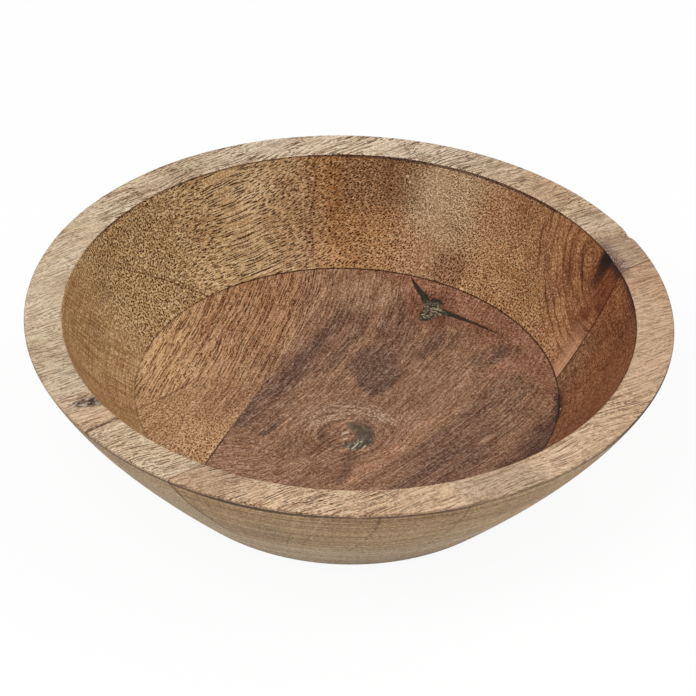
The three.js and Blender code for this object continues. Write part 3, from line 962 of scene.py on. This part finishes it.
def dark_floor_finish():
    """Floor of the dark board: red-brown, with purple heartwood streaks, a knot and a stained crack."""
    f = Finish("dark_floor_wood", (150, 112, 88))
    along, across = curved_grain(f, DARK_GRAIN, 0.003)
    slow = f.noise((along * 0.016, across * 0.03, 0.5), 1.0)
    curl = f.noise((along * 0.05, across * 0.07, 3.5), 1.0)
    dx, dy = f.x - KNOT_X, f.y - KNOT_Y
    knot = f.root(dx * dx * 0.75 + dy * dy)
    a = math.radians(DARK_GRAIN)
    knot_side = dx * math.sin(a) - dy * math.cos(a)
    bent = across + slow * 6 + curl * 2.4 - knot_side * f.step(knot, 24, 4) * 0.6
    # Grain runs level before the glue line at the front left
    level = f.step(f.x + f.y * 0.3, -40, -56) * f.step(f.y, -24, -36)
    bent = bent + (f.x * 0.15 - f.y - 33 - bent) * level
    ripple = f.noise((along * 0.25, across * 0.3, 8.5), 1.0) * 9
    marks = vessels(f, along, bent, ripple, 3, 0.58, 0.31)
    streak = fibres(f, along, bent, f.z, 11, 0.75)
    pale = fibres(f, along, bent, f.z + 40, 8, 0.7)
    grain = fibres(f, along, bent, f.z, 60, 5.0)
    speck = speckle(f, 1.0)
    warp = f.cloud(0.06, 0.0, 9.5, 2.0, 0.6)
    sway = f.cloud(0.05, 0.0, 2.5, 2.0, 0.6) - 0.5
    x = f.x + (warp - 0.5) * 9
    y = f.y + sway * 9
    f.paint(f.step(warp, 0.38, 0.62), (166, 127, 101))
    f.paint(f.step(x * 0.8 + y * 0.6, 46, 66) * 0.6, (164, 116, 90))
    # Heartwood streaks, soft and ragged along the grain, and the pale wood behind and before them
    ragged = (grain - 0.5) * 2.0 + (streak - 0.5) * 0.8
    heart = f.most(*[stroke(f, x, y, *band) * share for *band, share in HEART_BANDS])
    heart = f.step(heart + ragged * f.step(heart, 0.0, 0.3), 0.0, 1.3)
    f.paint(heart * 0.9, (103, 74, 59))
    back_x, back_y = x - PALE_BACK_X, y - PALE_BACK_Y
    f.paint(f.step(f.root(back_x * back_x + back_y * back_y), 18, 8) * 0.6, (184, 150, 122))
    pale_band = stroke(f, x, y, *PALE_BAND)
    f.paint(f.step(pale_band + ragged * 0.6, 0.3, 1.0) * 0.7, (188, 146, 116))
    f.stain(f.step(grain, 0.46, 0.66) * 0.4 * (1.0 - level), (192, 172, 160))
    mottled = f.step(x + y * 0.7, 52, 78)
    grained(f, streak, 1.0 - mottled * 0.4, 0.1, marks, 0.75)
    f.paint(f.step(pale, 0.54, 0.68) * (0.3 - mottled * 0.2), (206, 172, 146))
    flecked(f, speck, mottled * 0.25 + 0.5, 0.14)
    for line in FRONT_LINES:
        f.stain(stroke(f, x, y, *line) * 0.4, LINE_TINT)
    # Rings round the knot: dark all round, with painted highlights on scratched arcs above
    rings = f.step(f.noise((knot * 0.75 + warp * 2, dx * 0.06, dy * 0.06), 2.0, 0.6), 0.47, 0.62)
    f.stain(rings * f.band(knot, 7, 19, 5) * 0.45, (160, 130, 112))
    arcs = f.step(f.noise((knot * 0.8, dx * 0.12, dy * 0.12), 3.0, 0.7), 0.46, 0.6)
    scratched = arcs * f.step(speckle(f, 0.8), 0.46, 0.6)
    above = f.band(knot, 9, 21, 4) * f.step(dy - abs(dx + 5) * 0.2, 0, 8)
    f.paint(scratched * above * 0.75, (216, 194, 170))
    # Dark ring at the knot's left, olive wood round its filled side, two glints and a tail before it
    left_ring = f.line(knot - 8.8 + sway * 3, 1.2) * f.step(dx, -1, -6)
    f.stain(left_ring * 0.45, (120, 92, 80))
    f.paint(knot_shade(f) * 0.85, KNOT_OLIVE)
    for glint in KNOT_GLINTS:
        f.paint(stroke(f, x, y, *glint) * 0.6, (212, 190, 172))
    f.stain(stroke(f, x, y, *KNOT_TAIL) * 0.45, (126, 100, 90))
    # Purple stain round the crack and along its side arm
    star = f.away(CRACK_STAIN, 1.0, 0.6) + (warp - 0.5) * 8
    f.stain(f.step(star, 15, 6) * 0.6, (172, 136, 132))
    f.stain(stroke(f, x, y, *CRACK_ARM_STAIN) * 0.4, (166, 128, 122))
    # Glue line and painted shade along the wall, and painted shade and a smudge at the right edge
    floor_lines(f, off_base_joint(f), -0.6, -0.1)
    radius = f.away((0, 0))
    shade = f.step(radius, FLOOR_RADIUS - 16, FLOOR_RADIUS - 3) * f.step(f.x - f.y * 0.9, 82, 98)
    f.stain(shade * f.step(f.y, -58, -44) * 0.7, EDGE_TINT)
    smudge = f.step(radius + (speck - 0.5) * 4, FLOOR_RADIUS - 3.2, FLOOR_RADIUS - 0.6)
    f.stain(smudge * f.band(f.y, -14, 3, 5) * 0.8, SMUDGE_TINT)
    return f.finish(0.45, marks * -0.6 + streak * 0.2, 0.3 - marks * 0.26)


def underside_finish(name, colour, slope):
    """Plain sanded wood under a base board, with its grain at a plan angle."""
    f = Finish(name, colour)
    along, across = curved_grain(f, slope, 0.001)
    bent = across + f.noise((along * 0.018, across * 0.03, 6.5), 1.0) * 8
    ripple = f.noise((along * 0.06, across * 0.25, 4.5), 1.0) * 7
    marks = vessels(f, along, bent, ripple, 4, 0.75, 0.28)
    streak = fibres(f, along, bent, f.z, 28, 0.9)
    broad = fibres(f, along, bent, f.z, 90, 6.0)
    f.stain(f.step(broad, 0.4, 0.64) * 0.6, STREAK_TINT)
    grained(f, streak, 0.8, 0.2, marks, 0.7)
    flecked(f, speckle(f, 1.0), 0.4, 0.2)
    f.stain(f.line(off_base_joint(f), 0.4) * 0.7, LINE_TINT)
    return f.finish(0.65, marks * -0.5 + streak * 0.3)


def crack_filler_finish():
    """Dark filler, browner away from the crack's heart, where stone dust flecks it."""
    f = Finish("crack_filler", (44, 24, 18))
    grit = f.cloud(0.55, 0.55, 0.0, 3.0, 0.65)
    dust = f.cloud(1.1, 1.1, 0.0, 2.0, 0.6)
    away = f.away(CRACK_DUST)
    near = f.step(away, 8.4, 3.6)
    f.paint(f.step(away, 20.4, 9.6), (30, 34, 23))
    f.paint(f.step(grit, 0.45, 0.7) * 0.2, (82, 68, 52))
    f.paint(f.step(grit, 0.4, 0.62) * near, (106, 90, 67))
    f.paint(f.step(dust, 0.55, 0.65) * near * 0.75, (184, 168, 140))
    return f.finish(0.5, grit * 1.2 + dust * 0.6, 0.25, 0.5)


def knot_filler_finish():
    """Olive filler, brown at its ragged edges, with dark dashes and pale painted glints along its lower side.
    """
    f = Finish("knot_filler", (132, 98, 80))
    along, across = grain_frame(f, DARK_GRAIN)
    grit = f.cloud(0.5, 0.5, 0.0, 3.0, 0.65)
    dash = f.noise((along * 0.3, across * 0.95, 2.5), 1.0)
    f.paint(f.step(grit, 0.38, 0.66), (104, 78, 64))
    f.paint(knot_shade(f), KNOT_OLIVE)
    f.paint(f.step(grit, 0.5, 0.66) * 0.7, (116, 102, 82))
    f.paint(f.step(grit, 0.46, 0.36) * 0.6, (54, 46, 38))
    low = f.step(f.y + (grit - 0.5) * 6, -30.5, -33)
    f.paint(f.step(dash, 0.48, 0.4) * low * 0.7, (50, 42, 34))
    # Pale painted glints along the lower side
    f.paint(f.step(dash, 0.54, 0.64) * low * 0.75, (206, 196, 172))
    return f.finish(0.5, grit * 0.8 + dash * low, 0.25, 0.4)


# Filled voids in the floor: outlines in plan, depth, the filler's fit and its rough top
CRACK_OUTLINE = (
    (24.7, 78.9), (28.8, 70.7), (31.6, 66.0), (32.6, 62.6), (34.5, 64.0), (37.2, 62.3), (37.8, 59.9),
    (37.2, 57.4), (38.8, 56.0), (42.4, 53.8), (46.1, 51.1), (50.4, 48.3), (56.0, 44.0), (61.2, 39.6),
    (55.4, 42.8), (50.1, 46.3), (44.4, 49.3), (40.4, 51.2), (35.6, 51.8), (33.5, 49.3), (31.1, 47.7),
    (28.5, 48.1), (28.1, 49.8), (28.7, 53.0), (29.9, 56.6), (29.3, 60.7), (28.7, 64.9), (26.9, 69.1),
)
KNOT_OUTLINE = (
    (1.6, -20.6), (5.2, -20.9), (8.4, -22.9), (10.6, -25.9), (11.1, -29.4), (10.2, -33.0), (7.6, -36.0),
    (4.2, -37.6), (0.4, -37.2), (-2.4, -35.4), (-0.6, -33.6), (2.2, -32.2), (3.4, -29.6), (2.6, -26.4),
    (0.8, -23.6),
)
OUTLINE_STEPS = 4
FILLER_DEPTH = 4.0
FILLER_FIT = 0.04
FILLER_CRISP_ANGLE = 50
SLAB_STEP = 0.4
SLAB_MARGIN = 2
SLAB_RELIEF = 0.22


def smooth_outline(points, steps):
    """Points of a closed smooth curve through the given ones."""
    count = len(points)
    curve = []
    for i in range(count):
        a, b, c, d = [Vector(points[(i + k) % count]) for k in (-1, 0, 1, 2)]
        for j in range(steps):
            t = j / steps
            curve.append(0.5 * (2 * b + (c - a) * t + (2 * a - 5 * b + 4 * c - d) * t * t
                                + (3 * b - a - 3 * c + d) * t * t * t))
    return curve


def prism(name, outline, bottom, top):
    """An upright solid on a plan outline."""
    bm = bmesh.new()
    low = [bm.verts.new((p.x, p.y, bottom)) for p in outline]
    high = [bm.verts.new((p.x, p.y, top)) for p in outline]
    bm.faces.new(low)
    bm.faces.new(high)
    for i in range(len(outline)):
        n = (i + 1) % len(outline)
        bm.faces.new((low[i], low[n], high[n], high[i]))
    return new_object(name, bm, ())


def rough_slab(name, outline, bottom, top):
    """A block round an outline with a fine rough top."""
    low_x = min(p.x for p in outline) - SLAB_MARGIN
    low_y = min(p.y for p in outline) - SLAB_MARGIN
    steps_x = round((max(p.x for p in outline) + SLAB_MARGIN - low_x) / SLAB_STEP)
    steps_y = round((max(p.y for p in outline) + SLAB_MARGIN - low_y) / SLAB_STEP)
    bm = bmesh.new()
    sheets = []
    for level in (bottom, top):
        sheet = []
        for j in range(steps_y + 1):
            row = []
            for i in range(steps_x + 1):
                p = Vector((low_x + i * SLAB_STEP, low_y + j * SLAB_STEP, level))
                if level == top:
                    p.z += SLAB_RELIEF * (noise.noise(p * 0.45) + 0.6 * noise.noise(p * 1.1))
                row.append(bm.verts.new(p))
            sheet.append(row)
        sheets.append(sheet)
    for sheet in sheets:
        for j in range(steps_y):
            for i in range(steps_x):
                bm.faces.new((sheet[j][i], sheet[j][i + 1], sheet[j + 1][i + 1], sheet[j + 1][i]))
    edge = [(0, i) for i in range(steps_x)] + [(j, steps_x) for j in range(steps_y)]
    edge += [(steps_y, i) for i in range(steps_x, 0, -1)] + [(j, 0) for j in range(steps_y, 0, -1)]
    for (j, i), (m, n) in zip(edge, edge[1:] + edge[:1]):
        bm.faces.new((sheets[0][j][i], sheets[0][m][n], sheets[1][m][n], sheets[1][j][i]))
    return new_object(name, bm, ())


def combine(piece, tool, operation):
    """Cuts or keeps part of a piece with a tool, which goes away."""
    change = piece.modifiers.new("shape", "BOOLEAN")
    change.operation = operation
    change.object = tool
    change.solver = "EXACT"
    bpy.context.view_layer.update()
    shaped = piece.evaluated_get(bpy.context.evaluated_depsgraph_get())
    mesh = bpy.data.meshes.new_from_object(shaped)
    piece.modifiers.clear()
    piece.data = mesh
    bpy.data.objects.remove(tool)


def filled_void(name, board, outline, sunk, finish):
    """Cuts a void in a board and makes the filler that lies in it, a little under the floor."""
    curve = smooth_outline(outline, OUTLINE_STEPS)
    middle = sum(curve, Vector((0, 0))) / len(curve)
    fitted = [p + (middle - p).normalized() * FILLER_FIT for p in curve]
    bottom = FLOOR - FILLER_DEPTH
    combine(board, prism("void_tool", curve, bottom, FLOOR + 1), "DIFFERENCE")
    filler = rough_slab(name, fitted, bottom - 1, FLOOR - sunk)
    combine(filler, prism("filler_tool", fitted, bottom + FILLER_FIT, FLOOR + 2), "INTERSECT")
    filler.data.materials.clear()
    filler.data.materials.append(finish)
    smooth_by_angle(filler, FILLER_CRISP_ANGLE)
    smooth_by_angle(board, CRISP_ANGLE)
    return filler


# Small losses on the rim: plan place, reach and depth in millimetres
RIM_LOSSES = (
    (109.6, 57.3, 2.4, 1.5),
    (4.8, -124.6, 1.2, 0.5),
    (-94.0, -63.2, 3.4, 0.45),
    (-98.0, -64.6, 1.6, 0.3),
    (103.4, 38.0, 3.0, 0.6),
    (104.8, 33.6, 2.0, 0.4),
)
WORN_DEPTH = 6


def worn(p):
    """A wall point let down where the rim has lost wood or wanders from flat."""
    share = (p.z - HEIGHT + WORN_DEPTH) / WORN_DEPTH
    if share < 0:
        return p
    loss = 0.10 * (1 + noise.noise(p * 0.05)) + 0.05 * (1 + noise.noise(p * 0.25))
    for x, y, reach, depth in RIM_LOSSES:
        away = math.hypot(p.x - x, p.y - y) / reach
        loss += depth * math.exp(-away * away)
    return Vector((p.x, p.y, p.z - loss * share))


# Pieces

# The outer woods' paler low tones are painted light thrown up from the floor
base_outer = outer_wall_finish("base_outer_wood", (205, 187, 157), (205, 187, 157), 0.9)
rear = wall_board("rear_wall", WALL_JOINT_ANGLE + 90, WALL_JOINT_OFFSET, REAR_COLUMNS, (
    rear_inner_finish(),
    rim_finish("rear_rim_wood", (219, 203, 177), (209, 189, 159)),
    outer_wall_finish("rear_outer_wood", (198, 181, 150), (182, 157, 122), 0.5),
), worn)
front = wall_board("front_wall", WALL_JOINT_ANGLE - 90, -WALL_JOINT_OFFSET, FRONT_COLUMNS, (
    front_inner_finish(),
    rim_finish("front_rim_wood", (213, 188, 158), (203, 174, 142)),
    outer_wall_finish("front_outer_wood", (202, 180, 144), (183, 152, 110), 0.9),
), worn)
light_base = base_board("light_base", 1, (
    light_floor_finish(),
    base_outer,
    underside_finish("light_under_wood", (210, 184, 146), LIGHT_GRAIN),
))
dark_base = base_board("dark_base", -1, (
    dark_floor_finish(),
    base_outer,
    underside_finish("dark_under_wood", (198, 168, 136), DARK_GRAIN),
))
crack = filled_void("crack_fill", dark_base, CRACK_OUTLINE, 0.6, crack_filler_finish())
knot_fill = filled_void("knot_fill", dark_base, KNOT_OUTLINE, 0.2, knot_filler_finish())
for piece, node, slot in (
    (rear, "rear_wall_board", "rear_wall_wood"),
    (front, "front_wall_board", "front_wall_wood"),
    (light_base, "light_base_board", "light_base_wood"),
    (dark_base, "dark_base_board", "dark_base_wood"),
    (crack, "crack_filler", "dark_filler"),
    (knot_fill, "knot_filler", "dark_filler"),
):
    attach(piece, "root")
    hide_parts(node)


# Stage, light and camera

STUDIO_HALF_SIDE = 3000
STUDIO_DROP = 0.2
STUDIO_PAINT = (0.85, 0.85, 0.85, 1)
STUDIO_WHITE = 0.93
STUDIO_LIGHT = 0.45


def seen_rays(nodes):
    """1 for the rays that see the background: from the camera, off gloss or through glass."""
    camera = nodes.add("ShaderNodeLightPath", {}, "Is Camera Ray")
    return nodes.most(camera, camera.other("Is Glossy Ray"), camera.other("Is Transmission Ray"))


def stage_floor():
    """Pale floor that shows almost white and keeps the bowl's shadow."""
    material = bpy.data.materials.new("studio_white")
    nodes = Nodes(material)
    paint = nodes.add("ShaderNodeBsdfDiffuse", {"Color": STUDIO_PAINT})
    white = nodes.add("ShaderNodeEmission", {})
    shown = nodes.add("ShaderNodeMixShader", {0: seen_rays(nodes) * STUDIO_WHITE, 1: paint, 2: white})
    nodes.add("ShaderNodeOutputMaterial", {0: shown})
    bm = bmesh.new()
    bmesh.ops.create_grid(bm, x_segments=1, y_segments=1, size=STUDIO_HALF_SIDE)
    floor = new_object("studio_floor", bm, (material,))
    floor.location.z = -STUDIO_DROP * MM


def studio_world():
    """Even light from all round, with a white background."""
    world = bpy.data.worlds.new("studio")
    bpy.context.scene.world = world
    nodes = Nodes(world)
    level = nodes.add("ShaderNodeMix", {0: seen_rays(nodes), 2: STUDIO_LIGHT, 3: 1.0})
    background = nodes.add("ShaderNodeBackground", {"Strength": level})
    nodes.add("ShaderNodeOutputWorld", {0: background})


def soft_box(name, place, size, watts):
    """A square soft light that looks at the middle of the bowl."""
    lamp = bpy.data.lights.new(name, "AREA")
    lamp.shape = "SQUARE"
    lamp.size = size
    lamp.energy = watts
    box = bpy.data.objects.new(name, lamp)
    box.location = place
    aim = Vector((0, 0, HEIGHT * MM / 2)) - Vector(place)
    box.rotation_euler = aim.to_track_quat("-Z", "Y").to_euler()
    bpy.context.scene.collection.objects.link(box)


# The photograph's view: aim, distance, height angle, tilt and lens, for a 696 pixel square picture
VIEW_AIM = Vector((-0.15, 0, 46.56)) * MM
VIEW_DISTANCE = 1.25
VIEW_ELEVATION = 36.26
VIEW_TILT = 1.71
PICTURE_SIDE = 696
FOCAL_PIXELS = 3226
SENSOR = 36.0


def photo_camera():
    """Camera at the photograph's view, tilted about its own axis."""
    lens = bpy.data.cameras.new("photo_camera")
    lens.sensor_width = SENSOR
    lens.lens = SENSOR * FOCAL_PIXELS / PICTURE_SIDE
    camera = bpy.data.objects.new("photo_camera", lens)
    e, tilt = math.radians(VIEW_ELEVATION), math.radians(VIEW_TILT)
    back = Vector((0, -math.cos(e), math.sin(e)))
    right = Vector((1, 0, 0))
    up = back.cross(right)
    turned_right = right * math.cos(tilt) + up * math.sin(tilt)
    turned_up = up * math.cos(tilt) - right * math.sin(tilt)
    turn = Matrix((turned_right, turned_up, back)).transposed()
    camera.matrix_world = Matrix.Translation(VIEW_AIM + back * VIEW_DISTANCE) @ turn.to_4x4()
    bpy.context.scene.collection.objects.link(camera)
    bpy.context.scene.camera = camera


stage_floor()
studio_world()
soft_box("key_light", (-0.55, -0.85, 1.35), 1.0, 22)
soft_box("fill_light", (0.9, 0.1, 1.2), 1.2, 8)
photo_camera()
bpy.context.scene.view_settings.view_transform = "Standard"
